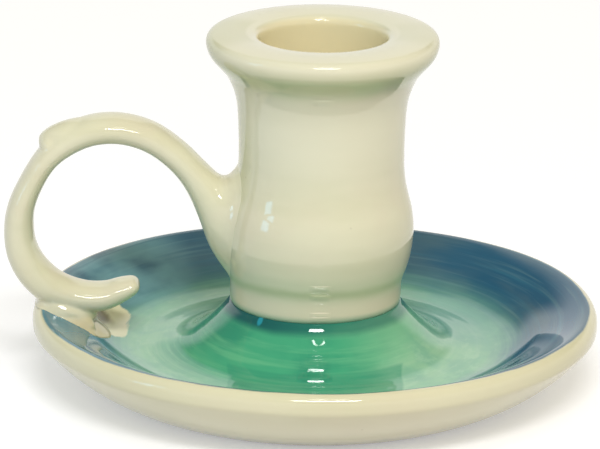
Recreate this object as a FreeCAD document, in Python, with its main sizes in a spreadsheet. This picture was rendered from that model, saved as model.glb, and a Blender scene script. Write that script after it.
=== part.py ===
import FreeCAD, Part
import Sketcher
import math
import os
import types

# Chamberstick with finger loop: glazed, hand-thrown pottery, millimetres, +Z up.
# The origin is on the candle's axis, in the plane that the foot ring stands on.
# The finger loop lies towards -X. Every piece is fired clay, luted to its neighbour.

doc = FreeCAD.newDocument("chamberstick")
sheet = doc.addObject("Spreadsheet::Sheet", "Sizes")

driving_sizes = [
    # saucer
    ("rim_radius", 54.0, "outermost radius of the saucer"),
    ("rim_height", 15.5, "crest of the rim above the table"),
    ("rim_roll", 2.0, "radius of the rounded outer edge of the rim"),
    ("rim_band", 1.7, "height of the upright band below the rolled edge"),
    ("brim_width", 10.0, "arched brim between the crest and the hollow slope"),
    ("brim_fall", 5.1, "how far the brim falls towards the middle"),
    ("brim_crown", 0.42, "how far the brim's surface arches"),
    ("slope_width", 8.5, "run of the hollow slope from the brim down to the floor"),
    ("floor_height", 7.5, "top of the saucer's floor above the table"),
    ("floor_ring", 1.0, "width of the level floor between hill and slope"),
    ("hill_bow", 2.3, "hollow curve of the hill's flank"),
    ("hub_height", 16.4, "flat seat for the candle socket above the table"),
    ("belly_bow", 1.4, "how far the saucer's underside bellies out"),
    ("foot_radius", 37.4, "outer radius of the turned foot ring"),
    ("foot_width", 3.6, "width of the foot ring"),
    ("foot_depth", 1.8, "depth of the recess inside the foot ring"),
    ("hub_hollow_radius", 13.0, "hollow turned out under the hub, at its roof"),
    ("hub_roof", 5.2, "thickness of clay left over that hollow"),
    ("hub_hollow_flare", 8.5, "how much wider the hollow is at its mouth"),
    # candle socket
    ("socket_foot_radius", 16.3, "radius where the socket stands on the hub"),
    ("socket_foot_band", 3.2, "upright band at the socket's foot"),
    ("socket_height", 53.1, "height of the socket from its seat to its top"),
    ("shoulder_radius", 16.9, "radius where the swelling begins and ends"),
    ("swell_bow", 1.2, "how far the swelling stands out"),
    ("heel_bow", 0.16, "hollow curve between foot band and swelling"),
    ("waist_radius", 15.7, "narrowest radius of the socket"),
    ("waist_bow", 0.3, "hollow curve between swelling and waist"),
    ("neck_radius", 16.0, "radius where the trumpet mouth starts"),
    ("neck_bow", 0.1, "hollow curve between waist and neck"),
    ("trumpet_radius", 18.5, "radius where the trumpet turns straight"),
    ("trumpet_bow", 0.47, "hollow curve of the trumpet"),
    ("flange_radius", 22.1, "outermost radius of the drip flange"),
    ("flange_edge", 1.5, "rounding of the flange's upper edge"),
    ("flange_dome", 0.3, "how far the flange's top swells up"),
    ("flange_under_drop", 3.1, "height of the curve under the flange's edge"),
    ("flange_under_width", 1.2, "width of that curve"),
    ("flange_under_bow", 0.31, "how far it bows"),
    ("bore_radius", 12.0, "bore for a 22 to 23 mm candle"),
    ("bore_depth", 26.0, "top of the flange to the bore's floor"),
    ("bore_lip", 1.5, "rounding of the bore's mouth"),
    ("bore_floor", 4.0, "thickness of the bore's floor"),
    ("vent_radius", 3.0, "hole in that floor, through which the kiln's air escapes"),
    ("chamber_radius", 12.4, "radius of the hollow below the bore's floor"),
    ("chamber_dome", 3.5, "rise of that hollow's domed roof"),
    # finger loop
    ("strap_set_in", 4.33, "rim's outer edge to the strap's middle line on the brim"),
    ("strap_lift", 2.6, "rim's crest up to the strap's middle line on the brim"),
    ("root_depth", 1.1, "how far the strap's root runs into the socket past its waist"),
    ("strap_thickness", 5.6, "thickness of the pulled strap at the crown"),
    ("strap_width", 9.6, "width of the pulled strap at the crown"),
    # thumb rest
    ("thumb_length", 5.3, "half the length of the pellet along the strap"),
    ("thumb_rise", 2.6, "half the thickness of the pellet"),
    ("thumb_width", 3.9, "half the width of the pellet"),
    # rim pad
    ("pad_inset", 0.3, "gap from the pad's inner end to the brim's edge"),
    ("pad_width", 10.4, "width of the pad"),
    ("pad_rise", 2.2, "height of the pad above the brim"),
    ("pad_round", 4.0, "rounding of the pad's inner corners"),
    # shared
    ("overrun", 2.0, "how far a cutting shape runs past what it cuts"),
]


class Size:
    """A length with its formula in the sheet's terms and its value in millimetres."""

    def __init__(self, formula, value):
        self.formula = formula
        self.value = float(value)

    def join(self, other, sign, value):
        right = other.formula if isinstance(other, Size) else repr(float(other))
        return Size(f"({self.formula} {sign} {right})", value)

    def __add__(self, other):
        return self.join(other, "+", self.value + number(other))

    def __sub__(self, other):
        return self.join(other, "-", self.value - number(other))

    def __mul__(self, other):
        return self.join(other, "*", self.value * number(other))

    def __truediv__(self, other):
        return self.join(other, "/", self.value / number(other))

    def __neg__(self):
        return Size(f"(-1 * {self.formula})", -self.value)


def number(length):
    return length.value if isinstance(length, Size) else float(length)


def read_sheet():
    """Fill the sheet, one driving dimension to a row, and return them by name."""
    table = {}
    for row, (alias, value, meaning) in enumerate(driving_sizes, start=1):
        sheet.set(f"A{row}", meaning)
        sheet.set(f"B{row}", str(value))
        sheet.setAlias(f"B{row}", alias)
        table[alias] = Size(f"Sizes.{alias}", value)
    doc.recompute()
    return table


def bind(thing, path, length):
    thing.setExpression(path, length.formula)


def origin_plane(body, role):
    for plane in body.Origin.OriginFeatures:
        if plane.Role == role:
            return plane
    raise ValueError(role)


def bow_radius(start, end, bow):
    """Radius of the arc over a chord whose middle stands off by the bow."""
    run = end[0] - start[0]
    rise = end[1] - start[1]
    return (run * run + rise * rise) / (bow * 8.0) + bow / 2.0


def arc_through(start, end, bow, side):
    """Arc that stands off its chord by bow, to the left of start to end if side is 1.

    It is always drawn anticlockwise, so one that bows to the left runs from its end.
    """
    ax, ay = start[0].value, start[1].value
    bx, by = end[0].value, end[1].value
    chord = math.hypot(bx - ax, by - ay)
    off = side * bow.value / chord
    first = FreeCAD.Vector(ax, ay, 0)
    middle = FreeCAD.Vector((ax + bx) / 2 - (by - ay) * off, (ay + by) / 2 + (bx - ax) * off, 0)
    last = FreeCAD.Vector(bx, by, 0)
    if side == 1:
        return Part.Arc(last, middle, first)
    return Part.Arc(first, middle, last)


def draw_outline(sketch, outline):
    """Closed outline: each row is a corner (x, y) and how the edge to the next one bows.

    The bow is None for a straight edge, or (distance, side), with side 1 to the left of
    the direction of travel. Every corner and every arc is bound to the sheet.
    """
    edges = []
    for index, (x, y, bow) in enumerate(outline):
        following = outline[(index + 1) % len(outline)]
        start, end = (x, y), following[:2]
        if bow is None:
            shape = Part.LineSegment(FreeCAD.Vector(x.value, y.value, 0),
                                     FreeCAD.Vector(end[0].value, end[1].value, 0))
            edges.append((sketch.addGeometry(shape), 1, 2, None))
            continue
        geometry = sketch.addGeometry(arc_through(start, end, *bow))
        first, last = (2, 1) if bow[1] == 1 else (1, 2)
        edges.append((geometry, first, last, bow_radius(start, end, bow[0])))
    Constraint = Sketcher.Constraint
    for index, (x, y, bow) in enumerate(outline):
        geometry, first, last, radius = edges[index]
        following = edges[(index + 1) % len(edges)]
        sketch.addConstraint(Constraint("Coincident", geometry, last, following[0], following[1]))
        for kind, place, axis in (("DistanceX", x, -2), ("DistanceY", y, -1)):
            if place is nought:
                sketch.addConstraint(Constraint("PointOnObject", geometry, first, axis))
                continue
            made = sketch.addConstraint(Constraint(kind, -1, 1, geometry, first, place.value))
            sketch.setExpression(f"Constraints[{made}]", place.formula)
        if radius is not None:
            made = sketch.addConstraint(Constraint("Radius", geometry, radius.value))
            sketch.setExpression(f"Constraints[{made}]", radius.formula)


def turned_body(label, outline):
    """A body turned on the wheel: its half section, swept once round the candle's axis."""
    body = doc.addObject("PartDesign::Body", label)
    body.Label = label
    section = body.newObject("Sketcher::SketchObject", label + "_section")
    section.AttachmentSupport = (origin_plane(body, "XZ_Plane"), [""])
    section.MapMode = "FlatFace"
    draw_outline(section, outline)
    turning = body.newObject("PartDesign::Revolution", label + "_turning")
    turning.Profile = section
    turning.ReferenceAxis = (section, ["V_Axis"])
    turning.Angle = 360.0
    section.Visibility = False
    body.Tip = turning
    doc.recompute()
    return body


def free_section(body, name, x, z, turn, half_thickness, half_width):
    """Oval section across the strap, made of four arcs.

    It stands across the strap's middle line at (x, z), and its outward side points turn
    degrees from +Z towards +X.
    """
    sketch = body.newObject("Sketcher::SketchObject", name)
    sketch.AttachmentSupport = (origin_plane(body, "YZ_Plane"), [""])
    sketch.MapMode = "FlatFace"
    sketch.AttachmentOffset = FreeCAD.Placement(
        FreeCAD.Vector(0, z.value, x.value),
        FreeCAD.Rotation(FreeCAD.Vector(1, 0, 0), turn))
    bind(sketch, "AttachmentOffset.Base.y", z)
    bind(sketch, "AttachmentOffset.Base.z", x)
    corner_x = half_width * edge_corner_share
    corner_y = half_thickness * face_corner_share
    face_bow = (half_thickness - corner_y, -1)
    edge_bow = (half_width - corner_x, -1)
    draw_outline(sketch, [
        (-corner_x, -corner_y, face_bow),
        (corner_x, -corner_y, edge_bow),
        (corner_x, corner_y, face_bow),
        (-corner_x, corner_y, edge_bow),
    ])
    sketch.Visibility = False
    return sketch


def cut_by(label, base, tools):
    """The base with the pieces that it seats against taken out, so that faces coincide."""
    remaining = base
    for count, tool in enumerate(tools, start=1):
        last = count == len(tools)
        name = label if last else f"{label}_step{count}"
        cut = doc.addObject("Part::Cut", name)
        cut.Base = remaining
        cut.Tool = tool
        remaining = cut
    remaining.Label = label
    doc.recompute()
    return remaining


s = types.SimpleNamespace(**read_sheet())
nought = Size("0", 0)

quarter_bow_share = 1 - math.sqrt(0.5)      # a quarter turn's bow, as a share of its radius
edge_corner_share = 0.75                    # where a strap section's face arc meets its edge
face_corner_share = 0.70
dome_bow_share = 0.25
slope_bow_share = 0.07

# Saucer: turned foot ring, bellied underside, rolled rim, arched brim, a hollow slope down
# to the floor, and the hill that carries the candle socket. The hub is hollow beneath.
crest_radius = s.rim_radius - s.rim_roll
brim_inner_radius = crest_radius - s.brim_width
brim_inner_height = s.rim_height - s.brim_fall
floor_outer_radius = brim_inner_radius - s.slope_width
foot_inner_radius = s.foot_radius - s.foot_width
hub_underside = s.hub_height - s.hub_roof
slope_bow = s.slope_width * slope_bow_share

saucer = turned_body("saucer", [
    (nought, hub_underside, None),
    (s.hub_hollow_radius, hub_underside, None),
    (s.hub_hollow_radius + s.hub_hollow_flare, s.foot_depth, None),
    (foot_inner_radius, s.foot_depth, None),
    (foot_inner_radius, nought, None),
    (s.foot_radius, nought, (s.belly_bow, -1)),
    (s.rim_radius, s.rim_height - s.rim_roll - s.rim_band, None),
    (s.rim_radius, s.rim_height - s.rim_roll, (s.rim_roll * quarter_bow_share, -1)),
    (crest_radius, s.rim_height, (s.brim_crown, -1)),
    (brim_inner_radius, brim_inner_height, (slope_bow, 1)),
    (floor_outer_radius, s.floor_height, None),
    (floor_outer_radius - s.floor_ring, s.floor_height, (s.hill_bow, 1)),
    (s.socket_foot_radius, s.hub_height, None),
    (nought, s.hub_height, None),
])

# Candle socket: upright foot band, swelling, waist, trumpet mouth and drip flange outside;
# inside, a bore with a vented floor for the candle, and a domed chamber below it.
seat = s.hub_height
top = seat + s.socket_height
bore_floor_height = top - s.bore_depth
chamber_top = bore_floor_height - s.bore_floor
quarter_flange = (s.flange_edge * quarter_bow_share, -1)
quarter_lip = (s.bore_lip * quarter_bow_share, -1)
swell_start_share = 0.119                   # heights over the seat, as shares of the socket's
swell_end_share = 0.392
waist_height_share = 0.542
neck_height_share = 0.719
trumpet_height_share = 0.857
flange_shoulder = top - s.flange_dome
flange_edge_height = flange_shoulder - s.flange_edge

candle_socket = turned_body("candle_socket", [
    (s.chamber_radius, seat, None),
    (s.socket_foot_radius, seat, None),
    (s.socket_foot_radius, seat + s.socket_foot_band, (s.heel_bow, 1)),
    (s.shoulder_radius, seat + s.socket_height * swell_start_share, (s.swell_bow, -1)),
    (s.shoulder_radius, seat + s.socket_height * swell_end_share, (s.waist_bow, 1)),
    (s.waist_radius, seat + s.socket_height * waist_height_share, (s.neck_bow, 1)),
    (s.neck_radius, seat + s.socket_height * neck_height_share, (s.trumpet_bow, 1)),
    (s.trumpet_radius, seat + s.socket_height * trumpet_height_share, None),
    (s.flange_radius - s.flange_under_width, flange_edge_height - s.flange_under_drop,
     (s.flange_under_bow, -1)),
    (s.flange_radius, flange_edge_height, quarter_flange),
    (s.flange_radius - s.flange_edge, flange_shoulder, (s.flange_dome, -1)),
    (s.bore_radius + s.bore_lip, flange_shoulder, quarter_lip),
    (s.bore_radius, flange_shoulder - s.bore_lip, None),
    (s.bore_radius, bore_floor_height, None),
    (s.vent_radius, bore_floor_height, None),
    (s.vent_radius, chamber_top, (s.chamber_dome * dome_bow_share, 1)),
    (s.chamber_radius, chamber_top - s.chamber_dome, None),
])

# Finger loop: a strap pulled by hand, lofted through ovals from the free tip of its scroll,
# under and round the finger hole, over the crown, and down into a flared root.
# Places and turns are taken along the strap's middle line, seen from the front:
# x and z in loop radii from the middle of the finger hole, the outward side's turn in
# degrees from +Z towards +X, then thickness and width in those of the crown.
root_across_share = 1.45                    # where the root ends, inside the socket's wall
brim_across_share = -0.65                   # where the strap lies on the brim
brim_up_share = -0.91
loop_station_shares = [
    (0.31, -0.83, -207, 0.16, 0.42),
    (0.26, -0.85, -200, 0.55, 0.69),
    (0.10, -0.92, -190, 0.82, 0.83),
    (-0.09, -0.99, -181, 0.94, 0.94),
    (-0.35, -0.99, -170, 0.99, 1.00),
    (brim_across_share, brim_up_share, -157, 1.18, 1.04),
    (-0.89, -0.70, -139, 1.18, 1.04),
    (-1.02, -0.46, -121, 1.13, 1.02),
    (-1.06, -0.20, -105, 1.06, 1.00),
    (-1.03, 0.08, -88, 0.95, 0.98),
    (-0.90, 0.39, -67, 0.84, 0.96),
    (-0.72, 0.67, -47, 0.85, 0.96),
    (-0.47, 0.88, -27, 0.98, 0.98),
    (-0.19, 0.99, -10, 1.00, 1.00),
    (0.13, 1.00, 6, 1.00, 1.00),
    (0.45, 0.90, 21, 1.00, 1.00),
    (0.74, 0.69, 33, 1.00, 1.00),
    (0.95, 0.45, 34, 1.14, 1.02),
    (1.10, 0.21, 23, 1.66, 1.10),
    (1.21, 0.03, 12, 2.55, 1.25),
    (1.33, -0.06, 5, 3.35, 1.40),
    (root_across_share, -0.09, 0, 3.80, 1.50),
]

# The loop is as wide as the space from the socket's wall to the brim, and stands on the rim.
root_radius = s.waist_radius - s.root_depth
brim_reach = s.rim_radius - s.strap_set_in
loop_radius = (brim_reach - root_radius) / (root_across_share - brim_across_share)
loop_offset = root_radius + loop_radius * root_across_share
loop_height = s.rim_height + s.strap_lift - loop_radius * brim_up_share

pulled_strap = doc.addObject("PartDesign::Body", "pulled_strap")
sections = []
for count, (across, up, turn, thick, wide) in enumerate(loop_station_shares, start=1):
    sections.append(free_section(
        pulled_strap, f"strap_section{count}",
        loop_radius * across - loop_offset,
        loop_radius * up + loop_height,
        turn,
        s.strap_thickness * (thick / 2),
        s.strap_width * (wide / 2)))
strap = pulled_strap.newObject("PartDesign::AdditiveLoft", "strap_loft")
strap.Profile = sections[0]
strap.Sections = sections[1:]
pulled_strap.Tip = strap
doc.recompute()

# What the strap's root seats on: the socket, its bore and chamber stopped up to mid wall.
stopper = doc.addObject("Part::Cylinder", "stopper")
bind(stopper, "Radius", (s.bore_radius + s.waist_radius) * 0.5)
bind(stopper, "Height", s.socket_height)
bind(stopper, "Placement.Base.z", seat)
stopped_socket = doc.addObject("Part::Fuse", "stopped_socket")
stopped_socket.Base = candle_socket
stopped_socket.Tool = stopper
finger_loop = cut_by("finger_loop", pulled_strap, [stopped_socket, saucer])

# Thumb rest: a pellet of clay pressed onto the strap where the scroll breaks outward.
thumb_across_share = -0.52
thumb_up_share = 0.93
thumb_turn = -15
pellet = doc.addObject("Part::Ellipsoid", "pellet")
pellet.Placement = FreeCAD.Placement(
    FreeCAD.Vector(0, 0, 0), FreeCAD.Rotation(FreeCAD.Vector(0, 1, 0), thumb_turn))
bind(pellet, "Radius1", s.thumb_rise)
bind(pellet, "Radius2", s.thumb_length)
bind(pellet, "Radius3", s.thumb_width)
bind(pellet, "Placement.Base.x", loop_radius * thumb_across_share - loop_offset)
bind(pellet, "Placement.Base.z", loop_radius * thumb_up_share + loop_height)
thumb_rest = cut_by("thumb_rest", pellet, [pulled_strap])

# Rim pad: the bed of soft clay on the brim that the strap's lower bend is pressed into.
# It follows the brim's own curve, so the two meet face to face.
pad_layer = turned_body("pad_layer", [
    (brim_inner_radius, brim_inner_height, (s.brim_crown, 1)),
    (crest_radius, s.rim_height, None),
    (crest_radius, s.rim_height + s.pad_rise, (s.brim_crown, -1)),
    (brim_inner_radius, brim_inner_height + s.pad_rise, None),
])
pad_plan = doc.addObject("PartDesign::Body", "pad_plan")
plan = pad_plan.newObject("Sketcher::SketchObject", "pad_outline")
plan.AttachmentSupport = (origin_plane(pad_plan, "XY_Plane"), [""])
plan.MapMode = "FlatFace"
half_pad = s.pad_width * 0.5
pad_inner = brim_inner_radius + s.pad_inset
pad_round_bow = (s.pad_round * quarter_bow_share, -1)
draw_outline(plan, [
    (-s.rim_radius, -half_pad, None),
    (-(pad_inner + s.pad_round), -half_pad, pad_round_bow),
    (-pad_inner, -(half_pad - s.pad_round), None),
    (-pad_inner, half_pad - s.pad_round, pad_round_bow),
    (-(pad_inner + s.pad_round), half_pad, None),
    (-s.rim_radius, half_pad, None),
])
prism = pad_plan.newObject("PartDesign::Pad", "pad_prism")
prism.Profile = plan
bind(prism, "Length", s.rim_height + s.pad_rise + s.overrun)
pad_plan.Tip = prism
pad_blank = doc.addObject("Part::Common", "pad_blank")
pad_blank.Base = pad_layer
pad_blank.Tool = pad_plan
rim_pad = cut_by("rim_pad", pad_blank, [pulled_strap])

pieces = [saucer, candle_socket, finger_loop, thumb_rest, rim_pad]
doc.recompute()
for thing in doc.Objects:
    if "Invalid" in thing.State or "Error" in thing.State:
        raise RuntimeError(f"{thing.Name} did not build: {thing.State}")
for piece in pieces:
    shape = piece.Shape
    if shape.isNull() or not shape.isValid() or len(shape.Solids) != 1:
        raise RuntimeError(f"{piece.Label} is not one valid solid ({len(shape.Solids)} solids)")

os.makedirs("parts", exist_ok=True)
for piece in pieces:
    piece.Shape.exportStep(f"parts/{piece.Label}.step")
    box = piece.Shape.optimalBoundingBox()
    print(f"{piece.Label}: {piece.Shape.Volume / 1000:.2f} cm3,",
          f"x {box.XMin:.1f} to {box.XMax:.1f}, y {box.YMin:.1f} to {box.YMax:.1f},",
          f"z {box.ZMin:.1f} to {box.ZMax:.1f}")
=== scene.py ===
import math
import bpy
from mathutils import Matrix, Vector, noise


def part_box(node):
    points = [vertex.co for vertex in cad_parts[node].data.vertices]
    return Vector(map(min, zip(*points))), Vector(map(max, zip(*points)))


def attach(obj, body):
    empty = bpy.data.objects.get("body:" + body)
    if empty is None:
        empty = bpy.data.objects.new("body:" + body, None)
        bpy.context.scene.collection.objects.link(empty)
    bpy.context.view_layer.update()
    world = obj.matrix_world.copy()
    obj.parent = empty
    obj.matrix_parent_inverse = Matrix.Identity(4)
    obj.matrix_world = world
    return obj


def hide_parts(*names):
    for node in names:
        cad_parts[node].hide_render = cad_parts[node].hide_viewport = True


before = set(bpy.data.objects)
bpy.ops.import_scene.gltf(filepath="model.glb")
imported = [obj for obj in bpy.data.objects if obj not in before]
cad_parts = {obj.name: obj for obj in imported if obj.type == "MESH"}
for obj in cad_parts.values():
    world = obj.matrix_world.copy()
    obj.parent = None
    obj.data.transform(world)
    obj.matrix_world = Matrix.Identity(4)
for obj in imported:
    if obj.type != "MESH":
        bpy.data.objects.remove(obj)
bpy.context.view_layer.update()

# Glazed pottery chamberstick. Sizes in the dictionaries are in millimetres, +Z up, with the
# candle's axis at the origin and the finger loop towards -X. Meshes are made in metres.

mm = 0.001                              # one millimetre in metres
glazeIndex = 1.5                        # how strongly the glaze bends light


class Wire:
    # an output socket that can stand in a sum; numbers and other wires mix freely
    def __init__(self, finish, socket):
        self.finish = finish
        self.socket = socket

    def maths(self, operation, first, second=0.0):
        return self.finish.add("Math", {"operation": operation}, {0: first, 1: second})

    def __add__(self, other):
        return self.maths("ADD", self, other)

    def __sub__(self, other):
        return self.maths("SUBTRACT", self, other)

    def __rsub__(self, other):
        return self.maths("SUBTRACT", other, self)

    def __mul__(self, other):
        return self.maths("MULTIPLY", self, other)

    def __truediv__(self, other):
        return self.maths("DIVIDE", self, other)

    def __rtruediv__(self, other):
        return self.maths("DIVIDE", other, self)

    def __pow__(self, other):
        return self.maths("POWER", self, other)

    __radd__ = __add__
    __rmul__ = __mul__

    def highest(self, other):
        return self.maths("MAXIMUM", self, other)

    def ramp(self, start, end):
        # 0 at start, 1 at end, with soft ends; start may be the larger
        return self.finish.add("MapRange", {"interpolation_type": "SMOOTHSTEP"},
                               {"Value": self, "From Min": start, "From Max": end})

    def sine(self):
        return self.maths("SINE", self)

    def size(self):
        return self.maths("ABSOLUTE", self)

    def around(self, middle, reach):
        # 1 at the middle, falling softly to 0 at the reach on both sides
        return (self - middle).size().ramp(reach, 0.0)


class Finish:
    # the node tree of a material or a world, with one method that adds any node
    def __init__(self, owner):
        owner.use_nodes = True
        self.tree = owner.node_tree
        self.material = owner
        self.shader = self.tree.nodes.get("Principled BSDF")
        self.place = self.add("TexCoord", {}, {}, "Object")

    def add(self, kind, settings, inputs, output=0):
        node = self.tree.nodes.new("ShaderNode" + kind)
        for name, value in settings.items():
            setattr(node, name, value)
        for name, value in inputs.items():
            self.plug(node.inputs[name], value)
        return Wire(self, node.outputs[output]) if node.outputs else node

    def plug(self, socket, value):
        if isinstance(value, Wire):
            self.tree.links.new(value.socket, socket)
        else:
            socket.default_value = value

    def split(self, vector):
        node = self.tree.nodes.new("ShaderNodeSeparateXYZ")
        self.plug(node.inputs[0], vector)
        return [Wire(self, output) for output in node.outputs]

    def placeInMillimetres(self):
        return [axis / mm for axis in self.split(self.place)]

    def join(self, x, y, z):
        return self.add("CombineXYZ", {}, {0: x, 1: y, 2: z})

    def mix(self, factor, first, second):
        # colours are written as three numbers, or are wires
        first, second = [c if isinstance(c, Wire) else (*c, 1.0) for c in (first, second)]
        return self.add("Mix", {"data_type": "RGBA"}, {0: factor, 6: first, 7: second}, 2)

    def baseColour(self, colour):
        self.plug(self.shader.inputs["Base Color"], colour)

    def noise(self, vector, scale, detail=2.0, roughness=0.5):
        return self.add("TexNoise", {}, {"Vector": vector, "Scale": scale, "Detail": detail,
                                         "Roughness": roughness}, "Fac")

    def stretch(self, vector, scales):
        return self.add("VectorMath", {"operation": "MULTIPLY"}, {0: vector, 1: scales})

    def attribute(self, name):
        return self.add("Attribute", {"attribute_name": name}, {}, "Fac")

    def seenBy(self, kind):
        # 1 for rays of that kind, such as Is Camera Ray
        return self.add("LightPath", {}, {}, kind)

    def relief(self, height):
        # surface detail too fine to model, with its height in millimetres
        self.plug(self.shader.inputs["Normal"],
                  self.add("Bump", {}, {"Height": height, "Strength": 1.0, "Distance": mm}))


def softStep(value, start, end):
    share = min(max((value - start) / (end - start), 0.0), 1.0)
    return share * share * (3 - 2 * share)


def bell(value, middle, width):
    return math.exp(-((value - middle) / width) ** 2)


def arcRun(start, end, bow, pitch):
    # points from start up to end, on an arc whose middle stands bow to the left of the way
    (ax, ay), (bx, by) = start, end
    chord = math.hypot(bx - ax, by - ay)
    count = max(1, round(chord / pitch))
    if abs(bow) < 1e-6:
        return [(ax + (bx - ax) * i / count, ay + (by - ay) * i / count) for i in range(count)]
    radius = (chord * chord / 4 + bow * bow) / (2 * bow)
    leftX, leftY = -(by - ay) / chord, (bx - ax) / chord
    centreX = (ax + bx) / 2 + leftX * (bow - radius)
    centreY = (ay + by) / 2 + leftY * (bow - radius)
    first = math.atan2(ay - centreY, ax - centreX)
    sweep = math.remainder(math.atan2(by - centreY, bx - centreX) - first, 2 * math.pi)
    count = max(count, round(abs(sweep) / 0.12))
    return [(centreX + abs(radius) * math.cos(first + sweep * i / count),
             centreY + abs(radius) * math.sin(first + sweep * i / count)) for i in range(count)]


def evenly(points, pitch):
    # the same line with its points the pitch apart
    travelled = [0.0]
    for (ax, ay), (bx, by) in zip(points, points[1:]):
        travelled.append(travelled[-1] + math.hypot(bx - ax, by - ay))
    count = round(travelled[-1] / pitch)
    even, j = [], 0
    for i in range(count + 1):
        wanted = travelled[-1] * i / count
        while j < len(points) - 2 and travelled[j + 1] < wanted:
            j += 1
        share = (wanted - travelled[j]) / max(travelled[j + 1] - travelled[j], 1e-9)
        even.append(tuple(a + (b - a) * share for a, b in zip(points[j], points[j + 1])))
    return even


def turnedLine(corners, pitch, softness):
    # half section from axis to axis or round to its start: corners (radius, height, bow of the
    # stretch that follows), then each corner softened as glaze softens it
    line = []
    for (r, z, bow), (nextR, nextZ, _) in zip(corners, corners[1:]):
        line += arcRun((r, z), (nextR, nextZ), bow, pitch)
    line = evenly(line + [corners[-1][:2]], pitch)
    reach = math.ceil(3 * softness / pitch)
    weights = [bell(i * pitch, 0, softness * math.sqrt(2)) for i in range(-reach, reach + 1)]
    onAxis = corners[0][0] == 0
    count = len(line)
    soft = []
    for i in range(count):
        total, sumR, sumZ = 0.0, 0.0, 0.0
        for k, weight in enumerate(weights, start=-reach):
            j, mirror = i + k, 1
            if onAxis and j < 0:
                j, mirror = -j, -1
            elif onAxis and j >= count:
                j, mirror = 2 * (count - 1) - j, -1
            elif not onAxis:
                j %= count - 1
            total += weight
            sumR += weight * line[j][0] * mirror
            sumZ += weight * line[j][1]
        soft.append((max(sumR / total, 0.0), sumZ / total))
    if onAxis:
        soft[0], soft[-1] = (0.0, soft[0][1]), (0.0, soft[-1][1])
    else:
        soft.pop()
    return soft


def turnedPiece(name, line, segments, shape, notes=None):
    # the line swept round the axis; shape places each point, notes gives per-row attributes
    onAxis = line[0][0] == 0
    rows = len(line)
    normals = []
    for i, (r, z) in enumerate(line):
        before = line[max(i - 1, 0)] if onAxis else line[i - 1]
        after = line[min(i + 1, rows - 1)] if onAxis else line[(i + 1) % rows]
        run, rise = after[0] - before[0], after[1] - before[1]
        length = math.hypot(run, rise)
        normals.append((rise / length, -run / length))
    vertices, starts = [], []
    for i, (r, z) in enumerate(line):
        starts.append(len(vertices))
        around = 1 if onAxis and i in (0, rows - 1) else segments
        for k in range(around):
            angle = 2 * math.pi * k / segments
            vertices.append(tuple(value * mm for value in shape(r, z, angle, normals[i])))
    starts.append(len(vertices))
    faces = []
    for i in range(rows - 1 if onAxis else rows):
        below, above = starts[i], starts[(i + 1) % rows]
        single = [onAxis and i == 0, onAxis and i == rows - 2]
        for k in range(segments):
            n = (k + 1) % segments
            if single[0]:
                faces.append((below, above + n, above + k))
            elif single[1]:
                faces.append((below + k, below + n, above))
            else:
                faces.append((below + k, below + n, above + n, above + k))
    piece = meshPiece(name, vertices, faces)
    for label, values in (notes or {}).items():
        layer = piece.data.attributes.new(label, "FLOAT", "POINT")
        spread = []
        for i in range(rows):
            spread += [values[i]] * (starts[i + 1] - starts[i])
        layer.data.foreach_set("value", spread)
    return piece


def meshPiece(name, vertices, faces):
    mesh = bpy.data.meshes.new(name)
    mesh.from_pydata(vertices, [], faces)
    mesh.validate()
    mesh.shade_smooth()
    piece = bpy.data.objects.new(name, mesh)
    bpy.context.scene.collection.objects.link(piece)
    return piece


def furthest(line, low, high, along, wanted):
    # a table of the line's largest value on one axis, by its place on the other
    count = 400
    step = (high - low) / count
    table = [-1e9] * (count + 1)
    for first, second in zip(line, line[1:]):
        a, b = sorted((first[along], second[along]))
        for i in range(max(0, math.ceil((a - low) / step)), min(count, int((b - low) / step)) + 1):
            share = (low + i * step - first[along]) / ((second[along] - first[along]) or 1e-9)
            share = min(max(share, 0.0), 1.0)
            table[i] = max(table[i], first[wanted] + (second[wanted] - first[wanted]) * share)

    def look(place):
        spot = min(max((place - low) / step, 0.0), count - 1e-6)
        i = int(spot)
        return table[i] + (table[i + 1] - table[i]) * (spot - i)

    return look


def wander(angle, seed, turns=1.0):
    # smooth noise round the axis, with no seam
    return noise.noise(Vector((math.cos(angle) * turns, math.sin(angle) * turns, seed)))


cream = {
    "clear": (0.83, 0.80, 0.60),        # glaze where it lies thin over the pale clay
    "thick": (0.70, 0.685, 0.46),       # where it has pooled, greener
    "warm": (0.81, 0.73, 0.56),         # clay showing through
    "speck": (0.30, 0.24, 0.15),
    "speckScale": 420.0,
    "roughness": 0.03,
    "haze": 0.03,                       # how much the roughness varies
}


def newFinish(name):
    finish = Finish(bpy.data.materials.new(name))
    finish.shader.inputs["IOR"].default_value = glazeIndex
    return finish


def creamColour(finish, amount=1.0):
    # pale glaze over buff clay: clouds of warmer and greener tone and fine iron specks
    clouds = finish.noise(finish.place, 55.0, 4.0, 0.55)
    drift = finish.noise(finish.stretch(finish.place, (1.0, 1.0, 3.2)), 38.0, 3.0)
    colour = finish.mix(clouds.ramp(0.38, 0.72) * (0.55 * amount), cream["clear"], cream["warm"])
    colour = finish.mix(drift.ramp(0.45, 0.75) * (0.40 * amount), colour, cream["thick"])
    specks = finish.add("TexVoronoi", {"feature": "F1"},
                        {"Vector": finish.place, "Scale": cream["speckScale"]}, "Distance")
    chosen = finish.noise(finish.place, 260.0, 1.0)
    speckMask = specks.ramp(0.16, 0.05) * chosen.ramp(0.66, 0.74)
    return finish.mix(speckMask * 0.35, colour, cream["speck"])


def creamSheen(finish):
    # gloss that varies a little from place to place
    haze = (finish.noise(finish.place, 90.0, 3.0) - 0.5) * cream["haze"]
    finish.plug(finish.shader.inputs["Roughness"], haze + cream["roughness"])


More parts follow.
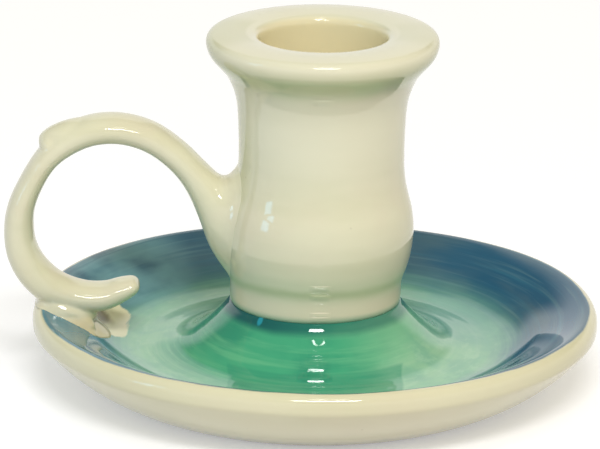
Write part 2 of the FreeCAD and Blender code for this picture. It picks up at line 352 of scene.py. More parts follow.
paint = {
    "green": (0.07, 0.43, 0.235),
    "deepGreen": (0.035, 0.31, 0.19),
    "brightGreen": (0.17, 0.55, 0.30),
    "paleGreen": (0.26, 0.60, 0.36),
    "mint": (0.31, 0.61, 0.40),
    "freshMint": (0.38, 0.65, 0.44),
    "shadedMint": (0.20, 0.48, 0.36),
    "dabbedMint": (0.42, 0.70, 0.50),
    "coolMint": (0.13, 0.39, 0.34),
    "blue": (0.012, 0.105, 0.205),
    "strokedBlue": (0.05, 0.22, 0.32),
    "cloudedBlue": (0.24, 0.48, 0.52),
    "clearBlue": (0.02, 0.24, 0.37),
    "slate": (0.085, 0.17, 0.22),
    "bristle": (0.36, 0.58, 0.54),      # where single bristles ran dry
    "crestLine": (0.03, 0.10, 0.16),
    "line": (0.01, 0.12, 0.12),         # thin dark line where socket and hub meet
    "fleck": (0.03, 0.38, 0.50),
    "bareBody": (0.72, 0.68, 0.42),     # tone that the saucer's own cream leans to
    # yellower bare glaze in the well, painted brighter as light under the loop
    "bareWell": (0.88, 0.85, 0.58),
    # painted shadow under the loop's tail
    "tailShadow": (0.17, 0.13, 0.0),
    "clays": [(0.60, 0.47, 0.30), (0.70, 0.57, 0.39)],
    # radii, and places as x and y
    "mintRadius": 29.5,
    "blueRadius": 41.5,
    "crestRadius": 52.4,
    # where the painted reflection of the socket lies on the floor's front
    "patchSide": 16.5,
    "patchRadius": 23.8,
    "tailPlace": (-39.8, 8.0),
    # where the painted shadow under the tail lies
    "tailShadowPlace": (-41.4, 7.5),
    "fleckPlace": (-10.4, -12.9),
    # throwing rings left by the finger, and the ledges between them at the front
    "ringPitch": 2.1,
    "ringDepth": 0.003,
    "strokeDepth": 0.006,
    # each ledge: radius, depth, width
    "ledges": [(16.95, 0.06, 0.5), (20.9, 0.18, 1.0), (23.0, 0.36, 1.0), (25.3, 0.62, 1.2)],
    "ledgeReach": 2.1,
    "roughness": 0.018,
    "haze": 0.03,
    "bareRoughness": 0.7,
}


def brushedWell(finish, x, y, radius, sweepX, sweepY):
    # brush strokes run round the wheel: noise that changes fast with radius, slowly around
    def stroke(around, outward, scale, detail, roughness):
        place = finish.join(sweepX * around, sweepY * around, radius * outward)
        return finish.noise(place, scale, detail, roughness)

    fine = stroke(0.55, 0.42, 1.7, 3.6, 0.6)
    broad = stroke(1.2, 0.13, 1.5, 3.0, 0.5)
    cloud = stroke(2.4, 0.10, 1.7, 2.5, 0.5)
    streak = stroke(1.5, 0.9, 1.1, 2.0, 0.5)
    dabs = stroke(5.0, 0.35, 1.3, 3.0, 0.6)
    edge = radius + (cloud - 0.5) * 2.2 + (fine - 0.5) * 4.5
    rightward = sweepX.ramp(0.15, 0.9)
    backward = sweepY.ramp(-0.3, 0.6)

    def lay(colour, mask, name):
        return finish.mix(mask, colour, paint[name])

    green = lay(paint["green"], broad.ramp(0.38, 0.66) * 0.8, "deepGreen")
    green = lay(green, fine.ramp(0.44, 0.72) * 0.6, "brightGreen")
    green = lay(green, rightward * (1.0 - backward) * 0.75, "paleGreen")
    mint = lay(paint["mint"], fine.ramp(0.35, 0.7) * 0.6, "freshMint")
    mint = lay(mint, cloud.ramp(0.38, 0.68) * 0.6, "shadedMint")
    mint = lay(mint, dabs.ramp(0.50, 0.70) * 0.45, "dabbedMint")
    cool = (edge.ramp(32.0, 41.0) * 0.75).highest(backward * (0.2 + rightward * 0.6))
    mint = lay(mint, cool, "coolMint")
    blue = lay(paint["blue"], broad.ramp(0.38, 0.70) * 0.8, "slate")
    blue = lay(blue, fine.ramp(0.46, 0.76) * 0.5, "strokedBlue")
    blue = lay(blue, (1.0 - rightward) * 0.55, "slate")

    # green on the hill, mint round it, blue on the brim
    leftBehind = sweepX.ramp(0.0, -0.5) * sweepY.ramp(-0.12, 0.22)
    hill = edge + (rightward * 9.0).highest(leftBehind * 8.0)
    colour = finish.mix(hill.ramp(paint["mintRadius"] - 4.0, paint["mintRadius"] + 4.5), green, mint)
    rise = edge + backward * 1.2 + rightward * (1.0 - backward) * 3.5
    colour = finish.mix(rise.ramp(paint["blueRadius"] - 5.4, paint["blueRadius"] + 3.4), colour, blue)
    # paler lines where single bristles ran dry
    colour = lay(colour, streak.ramp(0.52, 0.78) * radius.ramp(24.0, 33.0) * 0.16, "bristle")
    # a paler cloud in the blue behind the loop, and clearer blue in front of it
    pale = (sweepY * 0.6 - sweepX * 0.8).ramp(0.92, 0.99) * radius.ramp(36.0, 40.0)
    colour = lay(colour, pale * cloud.ramp(0.25, 0.6) * 0.6, "cloudedBlue")
    clearer = sweepX.ramp(-0.4, -0.8) * sweepY.ramp(0.1, -0.1) * radius.ramp(38.0, 43.0)
    colour = lay(colour, clearer * 0.7, "clearBlue")
    # painted reflection: the front of the floor is darker green where it mirrors the socket
    side, start = paint["patchSide"], paint["patchRadius"]
    patch = (x.size() + (cloud - 0.5) * 1.5).ramp(side + 0.3, side - 0.3)
    patch = patch * (radius + (fine - 0.5) * 1.2).ramp(start - 0.4, start + 0.4)
    colour = lay(colour, patch * sweepY.ramp(0.0, -0.1) * 0.5, "deepGreen")
    # the blue pools in a darker line where it stops at the crest
    colour = lay(colour, edge.around(paint["crestRadius"] - 0.6, 0.8) * 0.35, "crestLine")
    # a thin dark line at the foot of the socket, darker towards the left, and one turquoise fleck
    footLine = (radius + (broad - 0.5) * 0.8).ramp(18.2, 16.9) * (0.6 + 0.38 * sweepX.ramp(0.3, -0.7))
    colour = lay(colour, footLine, "line")
    fleckX, fleckY = paint["fleckPlace"]
    fleck = ((x - fleckX) ** 2.0 + (y - fleckY) ** 2.0) ** 0.5
    return lay(colour, fleck.ramp(0.75, 0.35) * 0.8, "fleck"), fine, broad, cloud


def saucerGlaze():
    finish = newFinish("painted_glaze")
    x, y = finish.placeInMillimetres()[:2]
    radius = (x * x + y * y) ** 0.5
    sweepX, sweepY = x / radius, y / radius
    colour, fine, broad, cloud = brushedWell(finish, x, y, radius, sweepX, sweepY)

    inside = finish.attribute("inside")
    crest = radius + (cloud - 0.5) * 0.9
    painted = inside * crest.ramp(paint["crestRadius"] + 0.25, paint["crestRadius"] - 0.25)
    # bare patch under the loop's tail, where the brush could not reach
    tailX, tailY = paint["tailPlace"]
    patchX, patchY = (x - tailX) ** 2.0, ((y - tailY) * 0.52) ** 2.0
    tail = (patchX * patchX + patchY * patchY) ** 0.25
    painted = painted * (tail + (cloud - 0.5) * 3.0 + (fine - 0.5) * 1.2).ramp(3.5, 4.1)
    body = finish.mix(0.3, creamColour(finish), paint["bareBody"])
    # inside the well the bare glaze is yellower, and painted brighter as light where the loop shades
    # it
    body = finish.mix(inside * radius.ramp(47.0, 44.0) * 0.8, body, paint["bareWell"])
    # painted shadow: brown where the loop's tail shades the saucer
    shadowX, shadowY = paint["tailShadowPlace"]
    shadowSpot = ((x - shadowX) ** 2.0 + ((y - shadowY) * 0.8) ** 2.0) ** 0.5
    body = finish.mix((shadowSpot + (fine - 0.5) * 1.5).ramp(3.2, 1.2) * 0.9, body, paint["tailShadow"])
    colour = finish.mix(painted, body, colour)
    # foot ring wiped clean of glaze
    bare = finish.attribute("bare")
    clay = finish.mix(finish.noise(finish.place, 700.0, 3.0).ramp(0.3, 0.7), *paint["clays"])
    finish.baseColour(finish.mix(bare, colour, clay))
    finish.plug(finish.shader.inputs["Roughness"],
                fine * paint["haze"] + paint["roughness"] + bare * paint["bareRoughness"])

    turn = y.maths("ARCTAN2", y, x)
    rings = (radius * (2 * math.pi / paint["ringPitch"]) + turn + (broad - 0.5) * 5.0).sine()
    worn = radius.ramp(17.0, 19.5) * radius.ramp(40.0, 33.0) * inside
    relief = rings * worn * paint["ringDepth"] + fine * paint["strokeDepth"]
    frontward = sweepY.ramp(-0.990, -0.9992) * inside
    wavy = radius + (broad - 0.5) * 0.4
    for level, depth, width in paint["ledges"]:
        half = width / 2
        step = wavy.ramp(level + half, level - half)
        step = step * wavy.ramp(level - paint["ledgeReach"], level - half)
        relief = relief + step * frontward * depth
    finish.relief(relief)
    return finish.material


socket = {
    "seat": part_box("candle_socket")[0].z / mm,
    "top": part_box("candle_socket")[1].z / mm,
    "flangeRadius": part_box("candle_socket")[1].x / mm,
    "footRadius": 16.3,
    "footBand": 3.2,
    "shoulderRadius": 16.9,
    "waistRadius": 15.7,
    "neckRadius": 16.0,
    "trumpetRadius": 18.5,
    # how far up the socket the shoulders, waist, neck and trumpet lie
    "shares": [0.119, 0.392, 0.542, 0.719, 0.857],
    "flangeUnder": (1.2, 4.9),          # in from the edge, down from the top
    "flangeEdge": 1.5,
    "flangeDome": 0.3,
    "boreRadius": 12.0,
    "boreDepth": 26.0,
    "boreFloor": 4.0,
    "ventRadius": 3.0,
    "chamberRadius": 12.4,
    "chamberDome": 3.5,
    "seam": 0.2,                        # how far above the hub's seat its foot starts
    "softness": 0.45,
    "pitch": 0.42,
    "segments": 240,
    "lean": 0.9,                        # it leans to +X over its middle
    "leanStart": 16.0,
    "leanEnd": 47.0,
    "waver": 0.12,
    "ringPitch": 3.4,
    "ringDepth": 0.012,
    # ledges left by the fingertip: height, depth
    "ledges": [(62.3, 0.06), (60.9, 0.08), (24.6, 0.10), (22.6, 0.10), (19.0, 0.09),
               (18.1, 0.10)],
    "ledgeHeight": 0.30,
    # colours of the glaze
    # pooled glaze with painted shadow, under the flange and below the swelling
    "pooledAndShaded": (0.52, 0.57, 0.31),
    "flangeTop": (0.84, 0.82, 0.65),
    # warmer glaze in the bore, painted paler as light on its far wall
    "bore": (0.89, 0.82, 0.57),
    "thin": (0.88, 0.85, 0.67),
    # painted shade and grazing reflection at the socket's two sides
    "sideShade": (0.58, 0.59, 0.33),
    "foot": (0.92, 0.78, 0.62),
    "run": (0.12, 0.36, 0.24),
}


def socketGlaze():
    finish = newFinish("socket_glaze")
    x, y, height = finish.placeInMillimetres()
    x = x - socket["lean"]
    reach = (x * x + y * y) ** 0.5
    outside = reach.ramp(14.0, 15.0)
    drift = (finish.noise(finish.stretch(finish.place, (1.0, 1.0, 2.0)), 60.0, 3.0) - 0.5) * 3.0
    level = height + drift

    def lay(colour, mask, name):
        return finish.mix(mask, colour, socket[name])

    # greener and darker under the flange and below the swelling: pooled glaze with painted shadow of
    # the flange and the swelling
    colour = lay(creamColour(finish), level.around(64.0, 4.5) * 0.8 + level.around(22.4, 1.7) * 0.5,
                 "pooledAndShaded")
    # paler on the flange's top, warm in the bore and painted paler there as light on its far wall
    colour = lay(colour, height.ramp(66.5, 68.8) * 0.6, "flangeTop")
    colour = lay(colour, reach.ramp(13.0, 12.0), "bore")
    # the neck is paler, where the glaze ran thin
    colour = lay(colour, level.around(52.0, 14.0) * outside * 0.8, "thin")
    # and a little greener and darker at the two sides, more at the left: painted shade and grazing
    # reflection
    sideways = x / reach
    sideShade = sideways.ramp(-0.80, -0.97) + sideways.ramp(0.88, 0.99) * 0.6
    colour = lay(colour, sideShade * outside * 0.4, "sideShade")
    colour = lay(colour, height.ramp(23.0, 20.0) * 0.4, "foot")
    # the hub's paint has run a little way up the foot
    colour = lay(colour, (height + drift * 0.3).ramp(18.4, 16.6) * 0.8, "run")
    finish.baseColour(colour)
    creamSheen(finish)

    wavy = height + (finish.noise(finish.place, 22.0, 1.0) - 0.5) * 0.7
    half = socket["ledgeHeight"] / 2
    ledges = 0.0
    for level, depth in socket["ledges"]:
        step = wavy.ramp(level + half, level - half) * wavy.ramp(level - 1.4, level - 0.5)
        ledges = step * depth + ledges
    finish.relief(ledges * outside * (y / reach).ramp(-0.991, -0.9995))
    return finish.material


def loopGlaze():
    finish = newFinish("loop_glaze")
    # painted shade: browner and darker low on the pad, beside the hollow under the tail
    height = finish.placeInMillimetres()[2]
    padShade = (height + (finish.noise(finish.place, 160.0, 2.0) - 0.5) * 3.0).ramp(15.0, 12.5)
    finish.baseColour(finish.mix(padShade * 0.55, creamColour(finish, 1.2), loop["padShade"]))
    creamSheen(finish)
    return finish.material


saucer = {
    "rimRadius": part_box("saucer")[1].x / mm,
    "rimHeight": 15.5,
    "hubHeight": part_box("saucer")[1].z / mm,
    "rimRoll": 2.0,
    "bandBottom": 11.8,                 # the rim's upright band
    "bandTop": 13.5,
    "footRadius": 37.4,
    "footWidth": 3.6,
    "footDepth": 1.8,
    "hollowRadius": 13.0,               # hollow turned out under the hub
    "hollowFlare": 8.5,
    "hubRoof": 5.2,
    # brim, slope, floor and hill: in from the rim, height, bow of the stretch that follows
    "well": [(12.0, 10.4, 0.6), (20.5, 7.5, 0), (25.7, 7.75, 0.33), (30.4, 9.45, 0.4)],
    "seatRadii": (16.45, 16.1, 15.4),   # hill's top, its edge at the socket's foot, and inside
    "seatStep": 0.7,                    # how far that edge rises round the foot
    "seatDip": 0.4,                     # how far the hub's top lies lower under the socket
    "softness": 0.38,
    "pitch": 0.42,
    "segments": 320,
    "rimWaver": 0.35,
}


def saucerLine():
    s = saucer
    rim, hub, foot = s["rimRadius"], s["hubHeight"], s["footRadius"]
    recess, roof = foot - s["footWidth"], hub - s["hubRoof"]
    hill, seat, under = s["seatRadii"]
    return [
        (0, roof, 0), (s["hollowRadius"], roof, 0),
        (s["hollowRadius"] + s["hollowFlare"], s["footDepth"], 0), (recess, s["footDepth"], 0),
        (recess, 0, 0), (foot, 0, -1.4), (rim, s["bandBottom"], 0), (rim, s["bandTop"], -0.586),
        (rim - s["rimRoll"], s["rimHeight"], -0.42),
        *[(rim - inward, height, bow) for inward, height, bow in s["well"]],
        (hill, hub, 0), (seat, hub + s["seatStep"], 0), (under, hub - s["seatDip"], 0),
        (0, hub - s["seatDip"], 0),
    ]


def buildSaucer():
    s = saucer
    line = turnedLine(saucerLine(), s["pitch"], s["softness"])
    # rows of the line that the paint may reach, and rows that are wiped clean
    crestRow = max(range(len(line)), key=lambda i: line[i][1] if line[i][0] > 48 else 0)
    inside = [1.0 if i > crestRow - 8 else 0.0 for i in range(len(line))]
    bare = [1.0 if z < 0.35 and r > 33.6 else 0.0 for r, z in line]

    def shape(r, z, angle, normal):
        # the rim wavers, as a hand-cut rim does
        waver = softStep(r, 40, 52) * softStep(z, 4, 12)
        r += waver * s["rimWaver"] * 1.4 * wander(angle, 3.1, 1.5)
        z += waver * s["rimWaver"] * wander(angle, 7.7, 1.7)
        return r * math.cos(angle), r * math.sin(angle), z

    piece = turnedPiece("saucerThrown", line, s["segments"], shape,
                        {"inside": inside, "bare": bare})
    piece.data.materials.append(saucerGlaze())
    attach(piece, "root")
    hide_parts("saucer")
    print("saucer:", len(piece.data.polygons), "faces")
    return line


def socketLine():
    s = socket
    seat, top, flange, edge = s["seat"], s["top"], s["flangeRadius"], s["flangeEdge"]
    low, high, waist, neck, trumpet = [seat + share * (top - seat) for share in s["shares"]]
    foot, floor, rim = seat + s["seam"], top - s["boreDepth"], top - s["flangeDome"]
    ceiling = floor - s["boreFloor"]
    return [
        (s["chamberRadius"], foot, 0), (s["footRadius"], foot, 0),
        (s["footRadius"], seat + s["footBand"], 0.16), (s["shoulderRadius"], low, -1.2),
        (s["shoulderRadius"], high, 0.3), (s["waistRadius"], waist, 0.1),
        (s["neckRadius"], neck, 0.47), (s["trumpetRadius"], trumpet, 0),
        (flange - s["flangeUnder"][0], top - s["flangeUnder"][1], -0.31),
        (flange, rim - edge, -0.44), (flange - edge, rim, -0.3),
        (s["boreRadius"] + edge, rim, -0.44), (s["boreRadius"], rim - edge, 0),
        (s["boreRadius"], floor, 0), (s["ventRadius"], floor, 0), (s["ventRadius"], ceiling, 0.9),
        (s["chamberRadius"], ceiling - s["chamberDome"], 0), (s["chamberRadius"], foot, 0),
    ]


def leanAt(z):
    return socket["lean"] * softStep(z, socket["leanStart"], socket["leanEnd"])


def buildSocket():
    s = socket
    line = turnedLine(socketLine(), s["pitch"], s["softness"])

    def shape(r, z, angle, normal):
        # faint throwing rings on the outside only
        outside = softStep(r, 14.2, 15.2)
        ring = math.sin(2 * math.pi * z / s["ringPitch"] + angle)
        offset = s["ringDepth"] * ring * (0.6 + 0.8 * wander(angle, z * 0.08, 0.8))
        offset *= outside * softStep(z, s["top"] - 5, s["top"] - 12)
        r += normal[0] * offset + s["waver"] * outside * wander(angle, z * 0.05)
        z += normal[1] * offset
        return r * math.cos(angle) + leanAt(z), r * math.sin(angle), z

    piece = turnedPiece("socketThrown", line, s["segments"], shape)
    piece.data.materials.append(socketGlaze())
    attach(piece, "root")
    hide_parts("candle_socket")
    print("socket:", len(piece.data.polygons), "faces")
    return line


loop = {
    "radius": 16.7,
    "offset": 38.8,
    "height": 33.3,
    "thickness": 5.6,
    "width": 9.6,
    "squareness": 2.2,                  # 2 is an oval section, more is boxier
    "around": 44,                       # points round a section
    "steps": 6,                         # sections from one station to the next
    "sections": 150,                    # from the tip to where the root flares
    "rootStart": 84,                    # section after which the strap nears the socket
    # painted shade low on the pad
    "padShade": (0.62, 0.50, 0.28),
    "voxel": 0.30,
    "smoothing": 13,
    "rootFillet": 1.7,
    "rootPlug": 2.2,                    # how far it runs into the socket's wall
    "skirt": 1.3,                       # hollow curve where the pad meets the brim
    "skirtTop": 19.0,                   # nothing above this height gets it
    "skirtFade": (40.0, 43.0),          # radii between which it sets in
    # lumps of clay: middle, half sizes along, across and up, then the tilt about Y and the
    # heading about Z in degrees
    "lumps": [
        ((-46.4, 0, 49.2), (6.6, 3.9, 2.5), -15, 0),
        ((-50.7, 0, 47.3), (2.2, 3.7, 1.9), -62, 0),
        ((-47.4, 0, 14.9), (6.2, 5.6, 2.3), 18, 0),
        ((-45.0, 0, 12.6), (3.4, 5.4, 1.1), 30, 0),
        ((-43.0, 0, 10.95), (4.9, 5.0, 0.95), 30, 0),
        ((-47.4, -2.6, 14.3), (6.4, 2.4, 1.5), 24, -15),
        ((-47.4, 2.6, 14.3), (6.4, 2.4, 1.5), 24, 15),
    ],
}

# along the strap from its tip: across and up in radii, the outward side's turn in degrees
# from +Z towards +X, then thickness and width as shares of the crown's
loopStations = [
    (0.31, -0.83, -207, 0.16, 0.42), (0.26, -0.85, -200, 0.55, 0.69),
    (0.10, -0.92, -190, 0.82, 0.83), (-0.09, -0.99, -181, 0.94, 0.94),
    (-0.35, -0.99, -170, 0.99, 1.00), (-0.65, -0.91, -157, 1.18, 1.04),
    (-0.89, -0.70, -139, 1.18, 1.04), (-1.02, -0.46, -121, 1.13, 1.02),
    (-1.06, -0.20, -105, 1.06, 1.00), (-1.03, 0.08, -88, 0.95, 0.98),
    (-0.90, 0.39, -67, 0.84, 0.96), (-0.72, 0.67, -47, 0.85, 0.96),
    (-0.47, 0.88, -27, 0.98, 0.98), (-0.19, 0.99, -10, 1.00, 1.00),
    (0.13, 1.00, 6, 1.00, 1.00), (0.45, 0.90, 21, 1.00, 1.00),
    (0.74, 0.69, 33, 1.00, 1.00), (0.95, 0.45, 34, 1.14, 1.02),
    (1.10, 0.21, 23, 1.66, 1.10), (1.21, 0.03, 12, 2.55, 1.25),
    (1.33, -0.06, 5, 3.35, 1.40), (1.45, -0.09, 0, 3.80, 1.50),
]


def throughStations(rows, steps):
    # a smooth run of values through each row, steps to a stretch
    run = []
    for i in range(len(rows) - 1):
        a, b = rows[max(i - 1, 0)], rows[i]
        c, d = rows[i + 1], rows[min(i + 2, len(rows) - 1)]
        for k in range(steps):
            t = k / steps
            run.append([0.5 * (2 * q + (r - p) * t + (2 * p - 5 * q + 4 * r - s) * t * t
                               + (3 * q - p - 3 * r + s) * t ** 3)
                        for p, q, r, s in zip(a, b, c, d)])
    return run + [list(rows[-1])]


def strapShape(socketSide):
    # the strap's skin, from its free tip to the flare that ends inside the socket's wall
    s = loop
    around = s["around"]
    lines = [[] for _ in range(around)]
    power = 2 / s["squareness"]
    for across, up, turn, thick, wide in throughStations(loopStations, s["steps"]):
        x, z = s["radius"] * across - s["offset"], s["radius"] * up + s["height"]
        outX, outZ = math.sin(math.radians(turn)), math.cos(math.radians(turn))
        for k in range(around):
            c, d = math.cos(2 * math.pi * k / around), math.sin(2 * math.pi * k / around)
            side = math.copysign(abs(c) ** power, c) * s["width"] * wide / 2
            out = math.copysign(abs(d) ** power, d) * s["thickness"] * thick / 2
            lines[k].append(Vector((x + outX * out, side, z + outZ * out)))
    middle = [sum((line[i] for line in lines), Vector()) / around for i in range(len(lines[0]))]

    def gapOf(point):
        return math.hypot(point.x - leanAt(point.z), point.y) - socketSide(point.z)

    def whereGap(line, gap, start):
        for i in range(start, len(line) - 1):
            here, there = gapOf(line[i]), gapOf(line[i + 1])
            if there <= gap:
                return i + min(max((here - gap) / max(here - there, 1e-6), 0), 1)
        return len(line) - 1.001

    def along(line, index):
        i = min(int(index), len(line) - 2)
        return line[i].lerp(line[i + 1], index - i)

    rows = []
    ends = [whereGap(line, s["rootFillet"], s["rootStart"]) for line in lines]
    for j in range(s["sections"]):
        rows.append([along(line, end * j / s["sections"]) for line, end in zip(lines, ends)])
    turns = [math.radians(a) for a in range(0, 91, 9)]
    hollow = [(s["rootFillet"] * (1 - math.sin(a)), s["rootFillet"] * (1 - math.cos(a)))
              for a in turns]
    for gap, spread in hollow + [(-0.6, s["rootFillet"]), (-s["rootPlug"], s["rootFillet"])]:
        row = []
        for line, end in zip(lines, ends):
            index = whereGap(line, gap, int(end))
            point = along(line, index)
            away = Vector((point.x - leanAt(point.z), point.y, 0)).normalized()
            outward = point - along(middle, index)
            outward -= away * outward.dot(away)
            point = point + outward.normalized() * spread
            centre = leanAt(point.z)
            wanted = socketSide(point.z) + gap
            reach = math.hypot(point.x - centre, point.y)
            point.x = centre + (point.x - centre) * wanted / reach
            point.y *= wanted / reach
            row.append(point)
        rows.append(row)
    vertices = [tuple(point * mm) for row in rows for point in row]
    faces = []
    for i in range(len(rows) - 1):
        for k in range(around):
            n = (k + 1) % around
            faces.append((i * around + k, i * around + n,
                          (i + 1) * around + n, (i + 1) * around + k))
    for row, flip in ((0, 1), (len(rows) - 1, 0)):
        hub = len(vertices)
        vertices.append(tuple(sum(rows[row], Vector()) / around * mm))
        for k in range(around):
            a, b = row * around + k, row * around + (k + 1) % around
            faces.append((hub, b, a) if flip else (hub, a, b))
    return vertices, faces


def lumpShape(middle, radii, tilt, heading, rows=20, around=32):
    # an egg of clay: three half sizes, tilted about Y, then turned about Z
    vertices, faces = [], []
    turn = (Matrix.Rotation(math.radians(heading), 3, "Z")
            @ Matrix.Rotation(math.radians(tilt), 3, "Y"))
    for i in range(rows + 1):
        lat = math.pi * i / rows
        for k in range(around):
            lon = 2 * math.pi * k / around
            along = Vector((radii[0] * math.sin(lat) * math.cos(lon),
                            radii[1] * math.sin(lat) * math.sin(lon), radii[2] * math.cos(lat)))
            vertices.append(tuple((Vector(middle) + turn @ along) * mm))
    for i in range(rows):
        for k in range(around):
            n = (k + 1) % around
            faces.append((i * around + k, (i + 1) * around + k,
                          (i + 1) * around + n, i * around + n))
    return vertices, faces


def fused(name, shapes, voxel, smoothing):
    # lumps pressed into one another: remeshed as one skin, then smoothed
    vertices, faces = [], []
    for someVertices, someFaces in shapes:
        base = len(vertices)
        vertices += someVertices
        faces += [tuple(base + v for v in face) for face in someFaces]
    rough = meshPiece(name + "Rough", vertices, faces)
    remesh = rough.modifiers.new("clay", "REMESH")
    remesh.mode = "VOXEL"
    remesh.voxel_size = voxel * mm
    remesh.use_smooth_shade = True
    smooth = rough.modifiers.new("soften", "SMOOTH")
    smooth.iterations = smoothing
    smooth.factor = 0.5
    bpy.context.view_layer.update()
    evaluated = rough.evaluated_get(bpy.context.evaluated_depsgraph_get())
    mesh = bpy.data.meshes.new_from_object(evaluated)
    bpy.data.objects.remove(rough)
    mesh.name = name
    piece = bpy.data.objects.new(name, mesh)
    bpy.context.scene.collection.objects.link(piece)
    return piece


def buildLoop(saucerTop, socketSide):
    s = loop
    lumps = [lumpShape(*lump) for lump in s["lumps"]]
    piece = fused("loopPulled", [strapShape(socketSide)] + lumps, s["voxel"], s["smoothing"])
    normals = [vertex.normal.copy() for vertex in piece.data.vertices]
    for vertex, normal in zip(piece.data.vertices, normals):
        x, y, z = vertex.co / mm
        gap = z - saucerTop(math.hypot(x, y))
        if z < s["skirtTop"] and gap < s["skirt"]:
            depth = s["skirt"] - max(gap, 0.0)
            grow = s["skirt"] - math.sqrt(max(s["skirt"] ** 2 - depth ** 2, 0.0))
            flat = Vector((normal.x, normal.y, 0))
            if flat.length > 0.2:
                vertex.co += flat * grow * softStep(math.hypot(x, y), *s["skirtFade"]) * mm
    piece.data.materials.append(loopGlaze())
    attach(piece, "root")
    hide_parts("finger_loop", "thumb_rest", "rim_pad")
    print("finger loop:", len(piece.data.polygons), "faces")
    return piece


view = {
    "distance": 1150.0,
    "elevation": 17.41,
    "roll": 0.61,
    "aim": (-3.06, 0.0, 31.38),
    "pixelsPerMillimetre": 5.26,        # at the aim
    "frameWidth": 600.0,
}


def buildCamera():
    camera = bpy.data.cameras.new("camera")
    camera.sensor_width = 36.0
    camera.lens = view["pixelsPerMillimetre"] * view["distance"] / view["frameWidth"] * 36.0
    camera.clip_start, camera.clip_end = 0.05, 20.0
    holder = bpy.data.objects.new("camera", camera)
    bpy.context.scene.collection.objects.link(holder)
    tilt = math.radians(view["elevation"])
    away = Vector((0, -math.cos(tilt), math.sin(tilt)))
    holder.location = (Vector(view["aim"]) + away * view["distance"]) * mm
    turn = away.to_track_quat("Z", "Y").to_matrix().to_4x4()
    holder.rotation_euler = (turn @ Matrix.Rotation(math.radians(view["roll"]), 4, "Z")).to_euler()
    bpy.context.scene.camera = holder


studio = {
    "lowFill": 0.19,                    # diffuse level of the surround below and above
    "highFill": 0.59,
    "frontFill": 0.34,                  # how much more comes from the camera's side
    "leftTint": (0.71, 0.75, 0.69),
    "rightTint": (1.05, 0.95, 0.71),
    "sweepTop": 0.34,                   # sine of the height up to which gloss mirrors white
    "ceiling": 0.20,                    # what gloss mirrors above that
    "backdrop": 0.70,                   # cosine of how far up the paper behind reaches
    # azimuth from the camera, elevation, width, height and turn in degrees, level, colour
    "panels": [
        (4.5, 46.0, 21.0, 7.0, 0.0, 30.0, (1.0, 0.99, 0.96)),
        (1.0, 67.5, 1.5, 8.0, -30.0, 20.0, (1.0, 0.99, 0.96)),
        (14.0, 67.5, 1.5, 8.0, 30.0, 20.0, (1.0, 0.99, 0.96)),
        (-66.0, 16.0, 9.0, 5.0, 0.0, 4.6, (0.22, 0.62, 1.0)),
        (-71.0, 8.0, 10.0, 8.0, 0.0, 4.6, (0.22, 0.62, 1.0)),
    ],
    "panelDistance": 1500.0,
    "floorHalf": 3.0,                   # metres
    "floorColour": (0.80, 0.80, 0.86),
    "floorGrain": (0.7, 0.7, 0.75),
    "floorLift": 0.40,
}


def buildWorld():
    world = bpy.data.worlds.new("surround")
    bpy.context.scene.world = world
    surround = Finish(world)
    s = studio
    mirrored = surround.seenBy("Is Glossy Ray").highest(surround.seenBy("Is Transmission Ray"))
    seen = surround.seenBy("Is Camera Ray")
    across, back, up = surround.split(surround.add("TexCoord", {}, {}, "Generated"))
    # what gloss mirrors: white low down and in the paper behind, grey above
    sweep = up.ramp(s["sweepTop"] + 0.08, s["sweepTop"] - 0.08)
    behind = back.ramp(s["backdrop"] - 0.05, s["backdrop"] + 0.05) * across.size().ramp(0.32, 0.20)
    gloss = sweep.highest(behind) * (1.0 - s["ceiling"]) + s["ceiling"]
    # what lights the clay: stronger from above and from the camera's side
    fill = up.ramp(-0.1, 0.7) * (s["highFill"] - s["lowFill"]) + s["lowFill"]
    fill = fill * (back.ramp(0.2, -0.9) * s["frontFill"] + 1.0)
    tint = surround.mix(across.ramp(-0.8, 0.8), s["leftTint"], s["rightTint"])
    tint = surround.mix(seen.highest(mirrored), tint, (1.0, 1.0, 1.0))
    lit = surround.tree.nodes["Background"]
    surround.plug(lit.inputs["Color"], tint)
    surround.plug(lit.inputs["Strength"],
                  mirrored * gloss + (1.0 - mirrored) * (seen + (1.0 - seen) * fill))


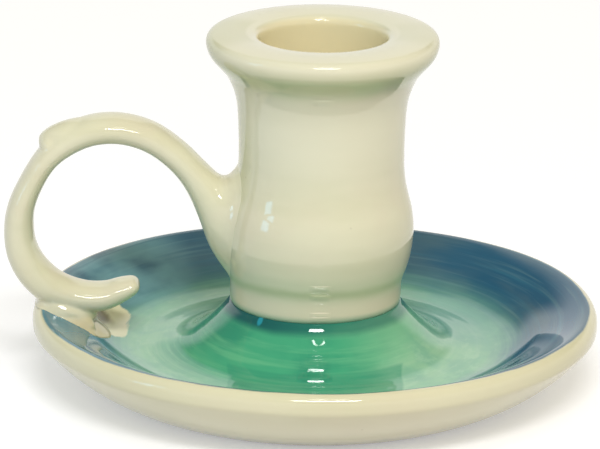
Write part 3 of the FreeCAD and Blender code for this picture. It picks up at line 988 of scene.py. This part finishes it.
def buildFloor():
    half = studio["floorHalf"]
    floor = meshPiece("floor", [(-half, -half, 0), (half, -half, 0), (half, half, 0),
                                (-half, half, 0)], [(0, 1, 2, 3)])
    finish = newFinish("floor_paper")
    grain = finish.noise(finish.place, 30.0, 3.0)
    finish.baseColour(finish.mix(grain * 0.06, studio["floorColour"], studio["floorGrain"]))
    finish.shader.inputs["Roughness"].default_value = 0.9
    finish.shader.inputs["Specular IOR Level"].default_value = 0.0
    # lifted towards white where the camera or a mirror sees it, so that only its shadow shows
    seen = finish.seenBy("Is Camera Ray").highest(finish.seenBy("Is Glossy Ray"))
    finish.shader.inputs["Emission Strength"].default_value = 1.0
    finish.plug(finish.shader.inputs["Emission Color"],
                finish.mix(seen * studio["floorLift"], (0, 0, 0), (1, 1, 1)))
    floor.data.materials.append(finish.material)


def buildLamps():
    for count, (azimuth, elevation, wide, tall, turn, level, tint) in enumerate(studio["panels"]):
        lamp = bpy.data.lights.new(f"panel{count}", "AREA")
        lamp.color = tint
        lamp.shape = "RECTANGLE"
        distance = studio["panelDistance"] * mm
        lamp.size = 2 * distance * math.tan(math.radians(wide / 2))
        lamp.size_y = 2 * distance * math.tan(math.radians(tall / 2))
        lamp.energy = level * lamp.size * lamp.size_y * math.pi
        holder = bpy.data.objects.new(f"panel{count}", lamp)
        bpy.context.scene.collection.objects.link(holder)
        a, e = math.radians(azimuth), math.radians(elevation)
        away = Vector((math.sin(a) * math.cos(e), -math.cos(a) * math.cos(e), math.sin(e)))
        holder.location = away * distance
        facing = away.to_track_quat("Z", "Y").to_matrix()
        holder.rotation_euler = (facing @ Matrix.Rotation(math.radians(turn), 3, "Z")).to_euler()


bpy.context.scene.view_settings.view_transform = "Standard"
buildCamera()
buildWorld()
buildFloor()
buildLamps()
saucerOutline = buildSaucer()
socketOutline = buildSocket()
buildLoop(furthest(saucerOutline, 16.5, saucer["rimRadius"] - 0.1, 0, 1),
          furthest(socketOutline, socket["seat"] + 0.5, socket["top"] - 2, 1, 0))
